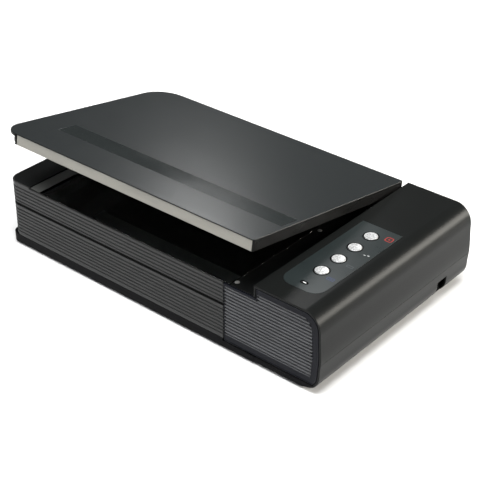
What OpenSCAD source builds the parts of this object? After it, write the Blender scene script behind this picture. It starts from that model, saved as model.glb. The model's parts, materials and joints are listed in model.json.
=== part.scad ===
// Flatbed scanner for books: a low body with a glass that runs out to its front edge, a hinged lid
// on lifting posts, and a control housing at the right-hand end.
// Origin: centre of the footprint on the surface it stands on. +X to the right, +Y to the back, +Z up.
// Millimetres. The lid stands ajar, held on its posts, and the scan carriage is parked at the left.

/* [Body] */
// Width of the whole body along X
body_w = 491; // [489:1:495]
// Depth of the whole body along Y
body_d = 291; // [289:1:295]
// Height of the control housing
body_h = 104; // [104:0.5:106]
// Thickness of the moulded walls
wall = 2.4; // [2:0.1:2.6]
// Depth of the ribbed front panels
skin_t = 2.3; // [2:0.1:2.4]

/* [Bed] */
// Height of the glass above the surface
glass_top = 89; // [88:0.5:90]
// Length of the glass along X
glass_w = 300; // [298:1:301]
// Width of the glass along Y
glass_d = 226; // [222:1:227]
// Thickness of the glass
glass_t = 3; // [2.5:0.5:3]
// Height of the raised border over the glass
border_rise = 2; // [1:0.5:2]

/* [Control housing] */
// Width of the control housing along X
housing_w = 92; // [91:0.5:93]
// Diameter of a scan button
button_d = 16; // [14:0.5:16.5]
// Distance between neighbouring buttons
button_pitch = 30.4; // [28:0.2:31]
// Height of a button over the panel
button_rise = 1; // [0.6:0.1:1.6]

/* [Lid] */
// Thickness of the lid
lid_t = 14.2; // [14:0.1:14.6]
// Angle that the lid stands open, in degrees
lid_tilt = 10.1; // [0:0.1:60]
// Height that the hinge posts are drawn out
lid_lift = 3.7; // [0:0.1:12]

/* [Scan carriage] */
// Width of the carriage along X
carriage_w = 58; // [54:1:58]
// Diameter of the steel guide rod
rod_d = 8; // [6:0.5:8]

/* [Hidden] */
$fn = 64;

// Faces of the body
x_left = -body_w / 2;
x_right = body_w / 2;
y_front = -body_d / 2;
y_back = body_d / 2;
cut = 1;                          // how far a cutting solid runs past the face that it cuts
gap = 0.2;                        // gap between neighbouring fixed parts

// Bottom tray
floor_z = 2;
floor_top = 4.5;
tray_top = 14;
tray_r = 13;
tray_flange = 7;
trim_x = 110;                     // left end of the housing's front trim
trim_z = 11;                      // lower edge of the front trim
tray_right = x_right - 24;
tray_recess = 1.5;                // the tray stands back under the housing
lip_z = 2.8;                      // lower edge of the lip under the trim
board_base = 12;                  // top of the posts under the main board
screw_core = 1.3;                 // radius of a pilot hole
foot_r = 7;
foot_h = 2.6;
foot_spots = [for (x = [-221, 136, 206], y = [-136, 130]) [x, y]];
case_spots = [[-233, -133], [-234, 134], [-40, 132], [146, 137], [168, -132], [168, 134]];
board_spots = [for (x = [164, 214], y = [-20, 116]) [x, y]];
bracket_spots = [[96, 94], [96, 133], [142.5, 98.5]];
idler_spots = [[-221, 98], [-221, 114]];

// Bed frame, the upper half of the body left of the housing
frame_x = x_left + 4;
frame_r = 16;
housing_x = x_right - housing_w;
frame_right = housing_x - 0.8;
frame_z = tray_top + gap;
bed_z = glass_top + 0.2;
border_z = glass_top + border_rise;
glass_x = -181;
glass_y = y_front + 2.6;
glass_z = glass_top - glass_t;
strip_x = glass_x - 22;           // left edge of the reference strip
ledge_y = y_back - 22;            // the bed drops to the hinge ledge behind this line
ledge_z = 86;
panel_split = 60;                 // height of the groove between the two front panels
upper_ribs = [for (i = [0:4]) 64.4 + 4.9 * i];
lower_ribs = [for (i = [0:7]) 19.4 + 4.7 * i];
groove_h = 2.1;                   // height and depth of a groove between two ribs
groove_d = 1;
bumper_spots = [[122.2, -135.6], [125.5, 7.3]];
bumper_r = 2.9;
bumper_h = 0.9;

// Control housing
side_mid = 47;                    // height at which the side stands out furthest
side_belly = 1.5;
seam_z = 42;                      // joint between the cover and the base of the housing
trim_edge = 2.6;                  // the cover's rim shows this wide round the trim
trim_border = 9;                  // smooth border round the trim's ribs
trim_ribs = [for (i = [0:16]) 21.6 + 4.3 * i];
top_corner = [22, 24];            // half-axes of the rounding between the top and the side
low_corner = [18, 20];            // half-axes of the rounding under the side
low_z = 5;
panel = [164, -118.5, 218.5, 38.2];
panel_r = 16;
panel_t = 1.1;
bezel_r = button_d / 2 + 1.6;
bezel_oval = [5.1, 2.6];
button_x = 191;
button_y = -75.6;
status_y = -106;
board_z = 91;                     // underside of the board behind the panel
panel_posts = [for (x = [172, 211], y = [-112, 32]) [x, y]];
main_z = 12.05;                   // underside of the main board
port_z = 17.4;                    // underside of the two inlets
port_h = 11;
switch_y = 90.5;
switch_z = 19;
notch_reach = 9.2;                // half the length of the notch over the power switch
notch_z = 30.5;
slot_y = switch_y - 24.5;         // front end of the low slot beside the notch
slot_z = 15;
usb_x = 178;
dc_x = 205;

// Lid, at its closed place
lid = [x_left + 0.5, y_front - 3.5, housing_x - 2.1, y_back - 9.3];
lid_rf = 26;
lid_rb = 36;
lid_z0 = border_z + 0.4;
lid_z1 = lid_z0 + lid_t;
shell_t = 2.2;
lid_inset = 4;
pivot = [133, lid_z1 - 9.6];      // y and z of the hinge pin with the lid closed
hinge_xs = [-172, 75];
pin_r = 2.5;
post = [18, 8, 48];
band = [-201.7, -95.6, 146, -67.6];  // smooth band across the lid
strip_left = -221;                // left end of the lid's pale front strip
strip_skin = 1.2;                 // the lid's top skin over the strip
strip_y = lid[1] + 0.8;           // front face of the strip
strip_back = lid[1] + lid_inset + 1.9;
lid_screw_spots = [for (x = [-228, -47, 136], y = [-128, 108]) [x, y]];

// Scan carriage and its drive
rod_y = 84;
rod_z = 40;
scan_x = -192;                    // scan line with the carriage parked
carriage_z = 34;
carriage_top = 83;
carriage_y0 = y_front + 7.5;
carriage_y1 = rod_y - 11;
mirror_set = [[2, 42, 40], [20, 52, -8], [-19, 46, 14], [19, 68, -20]];  // offset in X, height, lean
mirror_size = [1.8, 188, 10];
lens_y = -31;
lens_z = 58;
cable_y = [-50, -30];
rail_y = -128;
gear_module = 0.8;
belt_r = 6.35;
belt_t = 1.2;
belt_z = 30.5;
belt_h = 6;
pulley = [134, 102];
idler = [-229, 102];
belt_y0 = pulley[1] - belt_r - belt_t;
bracket_z = 20;
plate_t = 1.2;
spindle_r = 1.5;
pinion_teeth = 12;
large_teeth = 40;
small_teeth = 14;
pulley_teeth = 32;
idler_turn = 105;                 // direction from the pulley to the reduction gear
motor_turn = 188;                 // direction from the reduction gear to the motor
gear_axis = pulley + mesh(small_teeth, pulley_teeth) * [cos(idler_turn), sin(idler_turn)];
motor = gear_axis + mesh(large_teeth, pinion_teeth) * [cos(motor_turn), sin(motor_turn)];

charcoal = [0.13, 0.135, 0.14];
black = [0.04, 0.04, 0.042];
rib_grey = [0.3, 0.3, 0.31];
silver = [0.78, 0.79, 0.78];
steel = [0.7, 0.71, 0.73];

// Distance between the axes of two meshed gears
function mesh(n1, n2) = gear_module * (n1 + n2) / 2;

// Points of an elliptical arc about c with half-axes r, from angle a0 to a1 in n steps
function arc(c, r, a0, a1, n) =
    [for (i = [0:n]) let (a = a0 + (a1 - a0) * i / n) [c[0] + r[0] * cos(a), c[1] + r[1] * sin(a)]];

// The side bellies out a little between the two roundings
function side_x(z) =
    let (half = z > side_mid ? body_h - top_corner[1] - side_mid : side_mid - low_z - low_corner[1])
    x_right - side_belly * (1 - cos(180 * (z - side_mid) / half)) / 2;

// Top, right and lower outline of the housing, seen from the front and drawn in by d
function housing_edge(d) =
    let (x0 = x_right - side_belly, z1 = body_h - top_corner[1], z0 = low_z + low_corner[1])
    concat(
        arc([x0 - top_corner[0], z1], [top_corner[0] - d, top_corner[1] - d], 90, 0, 12),
        [for (i = [1:9]) let (z = z1 + (z0 - z1) * i / 10) [side_x(z) - d, z]],
        arc([x0 - low_corner[0], z0], [low_corner[0] - d, low_corner[1] - d], 0, -90, 9));

// Outline of the housing from its left end, from z0 up and drawn in by d
function housing_outline(x0, z0, d) = concat([[x0, z0], [x0, body_h - d]], housing_edge(d));

// A square corner less its rounding, to be cut away
module corner_cut(x, y, r, turn) {
    translate([x, y])
        rotate(turn)
            difference() {
                translate([-cut, -cut]) square(r + cut);
                translate([r, r]) circle(r);
            }
}

// A footprint with its two left corners rounded
module footprint(x0, y0, x1, y1, rf, rb) {
    difference() {
        translate([x0, y0]) square([x1 - x0, y1 - y0]);
        corner_cut(x0, y0, rf, 0);
        corner_cut(x0, y1, rb, 270);
    }
}

// The same footprint as a slab from z0 to z1, drawn in by d at the left, front and back
module slab(z0, z1, x0, x1, r, d) {
    translate([0, 0, z0])
        linear_extrude(z1 - z0)
            footprint(x0 + d, y_front + d, x1, y_back - d, r - d, r - d);
}

// A solid with the outline of pts in X and Z, from y0 to y1
module front_profile(pts, y0, y1) {
    translate([0, y1, 0])
        rotate([90, 0, 0])
            linear_extrude(y1 - y0)
                polygon(pts);
}

module rod_x(x0, x1, y, z, r) {
    translate([x0, y, z]) rotate([0, 90, 0]) cylinder(h = x1 - x0, r = r);
}

module rod_y(x, y0, y1, z, r) {
    translate([x, y1, z]) rotate([90, 0, 0]) cylinder(h = y1 - y0, r = r);
}

module rod_z(spot, z0, z1, r) {
    translate([spot[0], spot[1], z0]) cylinder(h = z1 - z0, r = r);
}

module block(lo, hi) {
    translate(lo) cube(hi - lo);
}

// ---- Bottom tray ----

module tray_rim() {
    difference() {
        union() {
            difference() {
                slab(floor_z, tray_top, x_left, housing_x, tray_r, 0);
                slab(floor_z - cut, tray_top + cut, x_left, housing_x + cut, tray_r, wall);
            }
            difference() {
                slab(tray_top - wall, tray_top, x_left, housing_x, tray_r, 0);
                slab(tray_top - wall - cut, tray_top + cut, x_left, housing_x + cut, tray_r, tray_flange);
            }
        }
        block([trim_x - 1, y_front - cut, trim_z - 0.5], [housing_x + cut, y_front + 30, tray_top + cut]);
    }
}

// Floor under the housing, with the lip that closes its front below the trim
module tray_end() {
    y0 = y_front + tray_recess;
    z1 = trim_z - gap;
    block([housing_x - cut, y0, floor_z], [tray_right, y_back, floor_top]);
    block([tray_right - wall, y0 + wall, floor_z], [tray_right, y_back - 12, board_base]);
    intersection() {
        front_profile(concat(housing_outline(housing_x - cut, lip_z, 0), [[tray_right - 3, lip_z]]),
            y_front + gap, y0 + wall);
        block([housing_x - cut, y_front, 0], [x_right, y0 + wall, z1]);
    }
}

module vents(n, x, y) {
    for (i = [0:n - 1])
        block([x + i * 6, y, floor_z - cut], [x + 2.6 + i * 6, y + 46, floor_top + cut]);
}

module bottom_tray() {
    color(black)
        difference() {
            union() {
                slab(floor_z, floor_top, x_left, housing_x, tray_r, 0);
                tray_rim();
                tray_end();
                for (p = board_spots) rod_z(p, floor_z, board_base, 3.5);
                for (p = bracket_spots) rod_z(p, floor_z, bracket_z, 4);
                for (p = idler_spots) rod_z(p, floor_z, bracket_z, 4);
            }
            for (p = foot_spots) rod_z(p, floor_z - cut, foot_h, foot_r + 0.1);
            for (p = case_spots) {
                rod_z(p, floor_z - cut, floor_top + cut, 1.7);
                rod_z(p, floor_z - cut, floor_z + 1.2, 3.2);
            }
            for (p = case_spots) rod_z(p, floor_top, tray_top + cut, 4.3);
            for (p = board_spots) rod_z(p, floor_top, board_base + cut, screw_core);
            vents(5, 176, 30);
            vents(5, 176, -70);
        }
}

module rubber_feet() {
    color([0.09, 0.09, 0.09])
        for (p = foot_spots) {
            rod_z(p, 0, 0.8, foot_r - 0.8);
            rod_z(p, 0.8, foot_h, foot_r);
        }
}

// ---- Bed frame ----

// The outer layer of the upper body at the front and round the left corner, d deep
module front_layer(z0, z1, x1, y1, d) {
    difference() {
        slab(z0, z1, frame_x, x1, frame_r, 0);
        slab(z0 - cut, z1 + cut, frame_x, x1 + cut, frame_r, d);
        block([frame_x - cut, y1, z0 - cut], [x1 + cut, y_back + cut, z1 + cut]);
    }
}

module bed_outer() {
    slab(frame_z, bed_z, frame_x, frame_right, frame_r, 0);
    intersection() {
        slab(frame_z, border_z, frame_x, frame_right, frame_r, 0);
        union() {
            block([frame_x, y_front, bed_z - cut], [strip_x, y_back, border_z]);
            block([strip_x - cut, glass_y + glass_d + 3, bed_z - cut], [frame_right, y_back, border_z]);
        }
    }
}

// The hollow under the bed, lower under the hinge ledge
module bed_hollow() {
    x1 = frame_right - wall;
    difference() {
        translate([0, 0, frame_z - cut])
            linear_extrude(bed_z - wall - frame_z + cut)
                footprint(frame_x + wall, y_front + skin_t + wall, x1, y_back - wall,
                    frame_r - wall - 1, frame_r - wall);
        block([frame_x, ledge_y - wall, ledge_z - wall], [frame_right, y_back, bed_z]);
    }
}

// The ledge that the glass lies on
module glass_ledge() {
    difference() {
        block([glass_x - 3, y_front + skin_t + wall, glass_z - wall],
            [glass_x + glass_w + 3, glass_y + glass_d + 3, glass_z]);
        block([glass_x + 3, y_front, glass_z - wall - cut],
            [glass_x + glass_w - 3, glass_y + glass_d - 3, glass_z + cut]);
    }
}

module bed_frame() {
    color(black)
        difference() {
            union() {
                difference() {
                    bed_outer();
                    bed_hollow();
                }
                glass_ledge();
                for (p = case_spots)
                    if (p[0] < housing_x) rod_z(p, floor_top + 0.1, ledge_z - 1, 4);
            }
            front_layer(frame_z - cut, border_z + cut, frame_right + cut, y_front + frame_r + 3.2,
                skin_t + 0.1);
            block([glass_x - gap, y_front, glass_z],
                [glass_x + glass_w + gap, glass_y + glass_d + gap, border_z + cut]);
            block([strip_x + 0.2, y_front + skin_t + 0.6, glass_top - 0.8],
                [glass_x - gap - 1, glass_y + glass_d + gap, border_z + cut]);
            block([frame_x - cut, ledge_y, ledge_z], [frame_right + cut, y_back + cut, border_z + cut]);
            for (x = hinge_xs)
                block([x - 12.2, pivot[0] - 7.7, ledge_z - 6], [x + 12.2, pivot[0] + 7.7, ledge_z + cut]);
            for (p = case_spots) rod_z(p, floor_top, 18, screw_core);
        }
}

module platen_glass() {
    color([0.2, 0.22, 0.22, 0.5])
        block([glass_x, glass_y, glass_z + 0.05], [glass_x + glass_w, glass_y + glass_d, glass_top]);
}

// Sloping strip beside the glass that pages are lined up with
module reference_strip() {
    x0 = strip_x + 0.3;
    x1 = glass_x - gap - 1.1;
    color([0.2, 0.2, 0.2])
        front_profile([[x0, glass_top - 0.7], [x1, glass_top - 0.7], [x1, glass_top],
            [x0 + 1, glass_top + 0.9], [x0, glass_top + 0.9]],
            y_front + skin_t + 0.7, glass_y + glass_d);
}

// One ribbed panel from z0 to z1, with grooves at the heights in zs
module ribbed_skin(z0, z1, zs) {
    difference() {
        front_layer(z0, z1, trim_x - gap, y_front + frame_r + 3, skin_t);
        for (z = zs) front_layer(z, z + groove_h, trim_x + cut, y_front + frame_r + 1, groove_d);
    }
}

module front_panel_upper() {
    color(rib_grey)
        difference() {
            ribbed_skin(panel_split + 1.4, border_z - 0.1, upper_ribs);
            block([strip_x, y_front - cut, glass_top], [trim_x + cut, y_front + 20, border_z + cut]);
        }
}

module front_panel_lower() {
    corner = 16;
    color(rib_grey)
        difference() {
            ribbed_skin(frame_z, panel_split - 1.4, lower_ribs);
            difference() {
                block([frame_x - cut, y_front - cut, frame_z - cut],
                    [frame_x + corner, y_front + 30, frame_z + corner]);
                rod_y(frame_x + corner, y_front - cut, y_front + 30, frame_z + corner, corner);
            }
        }
}

module bed_bumpers() {
    color([0.85, 0.85, 0.83])
        for (p = bumper_spots)
            translate([p[0], p[1], bed_z + 0.02])
                rotate_extrude()
                    polygon([[0, 0], [bumper_r, 0], [bumper_r, bumper_h - 0.4],
                        [bumper_r - 0.5, bumper_h - 0.1], [0, bumper_h]]);
}

// ---- Control housing ----

module cover_hollow() {
    pts = concat([[housing_x + wall, -cut], [housing_x + wall, body_h - wall]],
        housing_edge(wall), [[tray_right + 0.5, low_z + wall], [tray_right + 0.5, -cut]]);
    front_profile(pts, y_front - cut, y_back - wall);
}

// Side wall and top of the housing between two heights, open at the front, left and below
module housing_shell(z0, z1) {
    intersection() {
        difference() {
            front_profile(housing_outline(housing_x, low_z, 0), y_front, y_back);
            cover_hollow();
            block([housing_x - cut, y_front - cut, -cut],
                [housing_x + wall + 0.1, y_back + cut, bed_z + gap]);
        }
        block([housing_x - cut, y_front - cut, z0], [x_right + cut, y_back + cut, z1]);
    }
}

// Panel shape from z0 to z1, drawn in by d
module panel_slab(z0, z1, d) {
    x0 = panel[0] + d;
    y0 = panel[1] + d;
    x1 = panel[2] - d;
    y1 = panel[3] - d;
    r = panel_r - d;
    translate([0, 0, z0])
        linear_extrude(z1 - z0)
            difference() {
                translate([x0, y0]) square([x1 - x0, y1 - y0]);
                corner_cut(x0, y0, r, 0);
                corner_cut(x1, y0, r, 90);
            }
}

// Oval across X, from z0 to z1, half-length a and half-width b
module oval(z0, z1, a, b) {
    translate([button_x, status_y, z0])
        linear_extrude(z1 - z0)
            union() {
                translate([b - a, -b]) square([2 * (a - b), 2 * b]);
                for (s = [-1, 1]) translate([s * (a - b), 0]) circle(b);
            }
}

module button_holes(z0, z1, r) {
    for (i = [0:3]) rod_z([button_x, button_y + i * button_pitch], z0, z1, r);
}

// The cover comes down to the joint, and the rest of the side belongs to the base
module housing_cover() {
    top = body_h - wall;
    color(charcoal)
        difference() {
            union() {
                housing_shell(seam_z + gap, body_h);
                for (p = panel_posts) rod_z(p, board_z + 1.7, top + cut, 3);
                for (p = case_spots)
                    if (p[0] > housing_x) rod_z(p, floor_top + 0.1, top + cut, 4);
            }
            panel_slab(body_h - panel_t, body_h + cut, 0);
            button_holes(board_z + 2, body_h + cut, bezel_r + 0.1);
            oval(top - cut, body_h + cut, bezel_oval[0] + 0.1, bezel_oval[1] + 0.1);
            for (p = case_spots) rod_z(p, floor_top, 18, screw_core);
            for (p = panel_posts) rod_z(p, board_z, board_z + 8, 1);
        }
}

module port_holes() {
    z0 = port_z - 0.6;
    z1 = port_z + port_h + 0.8;
    block([usb_x - 6.4, y_back - wall - cut, z0], [usb_x + 6.4, y_back + cut, z1]);
    block([dc_x - 5, y_back - wall - cut, z0], [dc_x + 5, y_back + cut, z1]);
}

// Notch in the side over the power switch, and the low slot in front of it
module switch_notch() {
    x0 = tray_right + 6;
    block([x0, switch_y - notch_reach, low_z - cut], [x_right + cut, switch_y + notch_reach, notch_z]);
    block([x0, slot_y, low_z - cut], [x_right + cut, switch_y, slot_z]);
}

module housing_base() {
    color(charcoal)
        difference() {
            housing_shell(0, seam_z);
            block([housing_x - cut, y_front - cut, -cut],
                [x_right + cut, y_front + tray_recess + wall + 0.1, trim_z]);
            port_holes();
            switch_notch();
        }
}

// Ribbed panel that closes the front of the housing and reaches over the right end of the bed
module front_trim() {
    y0 = y_front + 0.1;
    y1 = y_front + skin_t;
    x_step = housing_x + wall + 0.3;
    step_z = glass_top - gap;
    body = concat([[trim_x, trim_z], [trim_x, step_z], [x_step, step_z], [x_step, body_h - trim_edge]],
        housing_edge(trim_edge));
    ribs = concat([[trim_x + 1.5, trim_z], [trim_x + 1.5, body_h]], housing_edge(trim_edge + trim_border));
    color(rib_grey)
        difference() {
            intersection() {
                front_profile(body, y0, y1);
                block([trim_x, y0, trim_z], [x_right, y1, body_h]);
            }
            intersection() {
                front_profile(ribs, y0 - cut, y0 + groove_d);
                for (z = trim_ribs) block([trim_x, y0 - cut, z], [x_right, y1, z + groove_h]);
            }
        }
}

module control_panel() {
    color([0.1, 0.115, 0.115])
        difference() {
            panel_slab(body_h - panel_t + 0.02, body_h + 0.1, 0.15);
            button_holes(body_h - 2 * panel_t, body_h + cut, bezel_r + 0.1);
            oval(body_h - 2 * panel_t, body_h + cut, bezel_oval[0] + 0.1, bezel_oval[1] + 0.1);
        }
}

module button_bezels() {
    color(black)
        difference() {
            button_holes(body_h - wall + gap, body_h + 0.5, bezel_r);
            button_holes(body_h - wall - cut, body_h + cut, button_d / 2 + 0.35);
        }
}

// A button: cap with a softly domed face, flange under the cover and a stem down to its switch
module push_button(i) {
    r = button_d / 2;
    z1 = body_h + button_rise;
    flange = body_h - wall - 1.8;
    color(silver)
        translate([button_x, button_y + i * button_pitch, 0])
            rotate_extrude()
                polygon([[0, board_z + 7], [2.6, board_z + 7], [2.6, flange - 1.2], [r + 1, flange - 1.2],
                    [r + 1, flange], [r, flange], [r, z1 - 0.9], [r - 0.3, z1 - 0.35], [r - 1, z1 - 0.05],
                    [r - 2, z1], [r / 2, z1 + 0.1], [0, z1 + 0.15]]);
}

module button_1() { push_button(0); }
module button_2() { push_button(1); }
module button_3() { push_button(2); }
module button_4() { push_button(3); }

module status_bezel() {
    color(black)
        difference() {
            oval(body_h - wall, body_h + 0.4, bezel_oval[0], bezel_oval[1]);
            oval(body_h - wall - cut, body_h + cut, 3.7, 1.3);
        }
}

module status_lens() {
    color([0.92, 0.94, 0.95])
        oval(board_z + 5, body_h + 0.3, 3.6, 1.2);
}

module panel_board() {
    color([0.05, 0.25, 0.14])
        difference() {
            block([167, -114, board_z], [215, 36, board_z + 1.6]);
            for (p = panel_posts) rod_z(p, board_z - cut, board_z + 3, 1.2);
        }
}

// Dome switches under the buttons, and the lamp under the status lens
module panel_switches() {
    z = board_z + 1.62;
    color([0.2, 0.2, 0.2]) {
        for (i = [0:3]) {
            y = button_y + i * button_pitch;
            block([button_x - 3, y - 3, z], [button_x + 3, y + 3, z + 3.4]);
            rod_z([button_x, y], z + 3.4, z + 4.5, 1.7);
        }
        block([button_x - 1.6, status_y - 0.9, z], [button_x + 1.6, status_y + 0.9, z + 1.5]);
    }
}

module panel_cable() {
    color([0.9, 0.9, 0.88])
        block([168.5, cable_y[0], 19.3], [169, cable_y[1], board_z - 0.1]);
}

module main_board() {
    color([0.05, 0.25, 0.14])
        difference() {
            block([159.5, -52, main_z], [217.5, 141, main_z + 1.6]);
            for (p = board_spots) rod_z(p, 11, 15, 1.6);
            for (p = case_spots) rod_z(p, 11, 15, 4.5);
        }
}

module board_chips() {
    z = main_z + 1.65;
    color([0.08, 0.08, 0.08]) {
        block([178, -6, z], [200, 16, z + 1.6]);
        block([174, 34, z], [186, 52, z + 1.2]);
        block([194, 36, z], [208, 50, z + 1.4]);
        block([176, 68, z], [184, 86, z + 9]);
        for (y = [64, 80, 96]) rod_z([206, y], z, z + 12, 4);
        block([167, cable_y[0] - 1, z], [171.5, cable_y[1] + 1, z + 5.5]);
    }
}

module usb_port() {
    z = port_z;
    color(steel)
        difference() {
            union() {
                block([usb_x - 6, y_back - 17, z], [usb_x + 6, y_back - 0.4, z + port_h]);
                for (s = [-5, 5]) block([usb_x + s - 0.6, y_back - 12, main_z + 1.65],
                    [usb_x + s + 0.6, y_back - 9, z + cut]);
            }
            difference() {
                block([usb_x - 4.4, y_back - 12, z + 1.6], [usb_x + 4.4, y_back + cut, z + 9.4]);
                block([usb_x - 2.8, y_back - 13, z + 3.8], [usb_x + 2.8, y_back - 2, z + 7]);
            }
        }
}

module dc_jack() {
    z = port_z;
    color(black)
        difference() {
            union() {
                block([dc_x - 4.6, y_back - 14.5, z], [dc_x + 4.6, y_back - 0.4, z + port_h]);
                block([dc_x - 2, y_back - 13, main_z + 1.65], [dc_x + 2, y_back - 8, z + cut]);
            }
            difference() {
                rod_y(dc_x, y_back - 10, y_back + cut, z + 5.6, 3.1);
                rod_y(dc_x, y_back - 11, y_back - 1.5, z + 5.6, 1.05);
            }
        }
}

// Frame of the power switch, open towards the side of the housing
module switch_frame() {
    x0 = tray_right + 2;
    x1 = x0 + 13;
    side = notch_reach - 0.5;
    color(black)
        difference() {
            block([x0, switch_y - side, switch_z - 10.3], [x1, switch_y + side, switch_z + 10.3]);
            block([x0 + 2, switch_y - 5.6, switch_z - 8.9], [x1 + cut, switch_y + 5.6, switch_z + 8.9]);
            rod_y(x0 + 8, switch_y - 8, switch_y + 8, switch_z, 1.06);
        }
}

// Rocker on two trunnions, its face bent in a shallow V
module power_rocker() {
    x = tray_right + 10;
    lean = 7;
    color(black)
        translate([x, 0, switch_z])
            rotate([0, lean, 0])
                translate([-x, 0, -switch_z])
                    union() {
                        front_profile([[x - 3, switch_z - 4], [x - 3, switch_z + 4], [x + 1, switch_z + 8],
                            [x + 5, switch_z + 8], [x + 3.9, switch_z], [x + 5, switch_z - 8],
                            [x + 1, switch_z - 8]], switch_y - 5.2, switch_y + 5.2);
                        rod_y(x, switch_y - 6.8, switch_y + 6.8, switch_z, 1);
                    }
}

// Case screws from below, and the short ones that hold the main board
module screws() {
    color(steel) {
        for (p = case_spots) {
            rod_z(p, floor_z, floor_z + 1.1, 2.9);
            rod_z(p, floor_z + 1, 15, 1.25);
        }
        for (p = board_spots) {
            rod_z(p, main_z + 1.65, main_z + 3, 2.8);
            rod_z(p, 6, main_z + 2, 1.25);
        }
    }
}

// ---- Hinges and lid ----

module hinge_sockets() {
    color(black)
        for (x = hinge_xs)
            difference() {
                union() {
                    block([x - 12, pivot[0] - 7.5, 30], [x + 12, pivot[0] + 7.5, ledge_z + 0.1]);
                    block([x - 15, pivot[0] - 9, ledge_z + 0.05], [x + 15, pivot[0] + 9, ledge_z + 1.5]);
                }
                block([x - post[0] / 2 - 0.3, pivot[0] - post[1] / 2 - 0.3, 32],
                    [x + post[0] / 2 + 0.3, pivot[0] + post[1] / 2 + 0.3, ledge_z + 3]);
            }
}

// Moves a part from its closed place to where the posts and the tilt put it
module lifted() {
    translate([0, 0, lid_lift]) children();
}

module ajar() {
    translate([0, pivot[0], pivot[1] + lid_lift])
        rotate([-lid_tilt, 0, 0])
            translate([0, -pivot[0], -pivot[1]])
                children();
}

// Flat post with an eye for the hinge pin
module hinge_post(x) {
    color(charcoal)
        lifted()
            difference() {
                union() {
                    block([x - post[0] / 2, pivot[0] - post[1] / 2, pivot[1] - post[2] - 4],
                        [x + post[0] / 2, pivot[0] + post[1] / 2, pivot[1]]);
                    rod_x(x - post[0] / 2, x + post[0] / 2, pivot[0], pivot[1], 5);
                }
                rod_x(x - post[0], x + post[0], pivot[0], pivot[1], pin_r + 0.06);
            }
}

module hinge_post_left() { hinge_post(hinge_xs[0]); }
module hinge_post_right() { hinge_post(hinge_xs[1]); }

module hinge_pins() {
    color(steel)
        ajar()
            for (x = hinge_xs) rod_x(x - 15.4, x + 15.4, pivot[0], pivot[1], pin_r);
}

// Lid shape from z0 to z1, drawn in by d at the left and front and by db at the back
module lid_slab(z0, z1, d, x1, db) {
    translate([0, 0, z0])
        linear_extrude(z1 - z0)
            footprint(lid[0] + d, lid[1] + d, x1, lid[3] - db, lid_rf - d / 2, lid_rb - d / 2);
}

module lid_shell() {
    color(charcoal)
        ajar()
            difference() {
                union() {
                    lid_slab(lid_z1 - shell_t, lid_z1, 0, lid[2], 0);
                    difference() {
                        lid_slab(lid_z1 - shell_t - 1.4, lid_z1, 0, lid[2], 0);
                        lid_slab(lid_z1 - shell_t - 2, lid_z1 - shell_t, 1.8, lid[2] - 1.8, 1.8);
                    }
                    block([lid[2] - 1.9, lid[1], lid_z0 + 0.3], [lid[2], lid[3], lid_z1 - shell_t]);
                    for (p = lid_screw_spots) rod_z(p, lid_z0 + 2.2, lid_z1 - 1, 3);
                }
                corner_post(lid[2], lid[1], 3, 90);
                corner_post(lid[2], lid[3], 3, 180);
                block([band[0], band[1], lid_z1 - 0.6], [band[2], band[3], lid_z1 + cut]);
                block([strip_left, lid[1] - cut, lid_z0], [lid[2] - 2, strip_back, lid_z1 - strip_skin]);
                for (x = hinge_xs) hinge_notch(x);
                for (p = lid_screw_spots) rod_z(p, lid_z0, lid_z0 + 9, 1.3);
            }
}

module corner_post(x, y, r, turn) {
    translate([0, 0, lid_z0 - cut])
        linear_extrude(lid_t + 2 * cut)
            corner_cut(x, y, r, turn);
}

// Room for a post and its swing under the lid's top
module hinge_notch(x) {
    block([x - 9.5, pivot[0] - 6.5, lid_z0 - cut], [x + 9.5, lid[3] + cut, pivot[1] + 6.5]);
}

module lid_tray() {
    x1 = lid[2] - 2.1;
    z1 = lid_z1 - shell_t - 0.1;
    color(black)
        ajar()
            difference() {
                union() {
                    difference() {
                        lid_slab(lid_z0, z1, lid_inset, x1, 2);
                        lid_slab(lid_z0 + 2, z1 + cut, lid_inset + 4, x1 - 2, 4.2);
                    }
                    for (x = hinge_xs, s = [-1, 1]) {
                        x0 = x + s * 12.6;
                        rod_x(x0 - 3, x0 + 3, pivot[0], pivot[1], 4.5);
                        block([x0 - 3, pivot[0] - 12, lid_z0], [x0 + 3, pivot[0], pivot[1]]);
                    }
                }
                for (x = hinge_xs) {
                    hinge_notch(x);
                    rod_x(x - 15.7, x + 15.7, pivot[0], pivot[1], pin_r + 0.02);
                }
                block([strip_left, lid[1], lid_z0 - cut], [x1 + cut, strip_back, z1 + cut]);
                for (p = lid_screw_spots) {
                    rod_z(p, lid_z0 - cut, lid_z0 + 1.3, 3);
                    rod_z(p, lid_z0 - cut, lid_z0 + 3, 1.6);
                }
            }
}

module lid_band() {
    color([0.1, 0.11, 0.11])
        ajar()
            block([band[0] + 0.1, band[1] + 0.1, lid_z1 - 0.58],
                [band[2] - 0.1, band[3] - 0.1, lid_z1 - 0.12]);
}

// Pale strip let into the lid's front face
module lid_front_strip() {
    color([0.72, 0.71, 0.66])
        ajar()
            block([strip_left + 3.2, strip_y, lid_z0 + 0.1],
                [lid[2] - 2.2, strip_back - 0.1, lid_z1 - strip_skin - 0.1]);
}

module lid_end_cap() {
    color(black)
        ajar()
            block([strip_left + 0.1, strip_y - 0.3, lid_z0 + 0.1],
                [strip_left + 3.1, strip_back - 0.1, lid_z1 - strip_skin - 0.1]);
}

module lid_mat() {
    color(black)
        ajar()
            block([glass_x + 4, glass_y + 4, glass_top + 0.6],
                [glass_x + glass_w - 6, glass_y + glass_d - 4, lid_z0 - 0.1]);
}

module lid_screws() {
    color(steel)
        ajar()
            for (p = lid_screw_spots) {
                rod_z(p, lid_z0 + 0.1, lid_z0 + 1.2, 2.7);
                rod_z(p, lid_z0 + 1, lid_z0 + 8, 1.2);
            }
}

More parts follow.
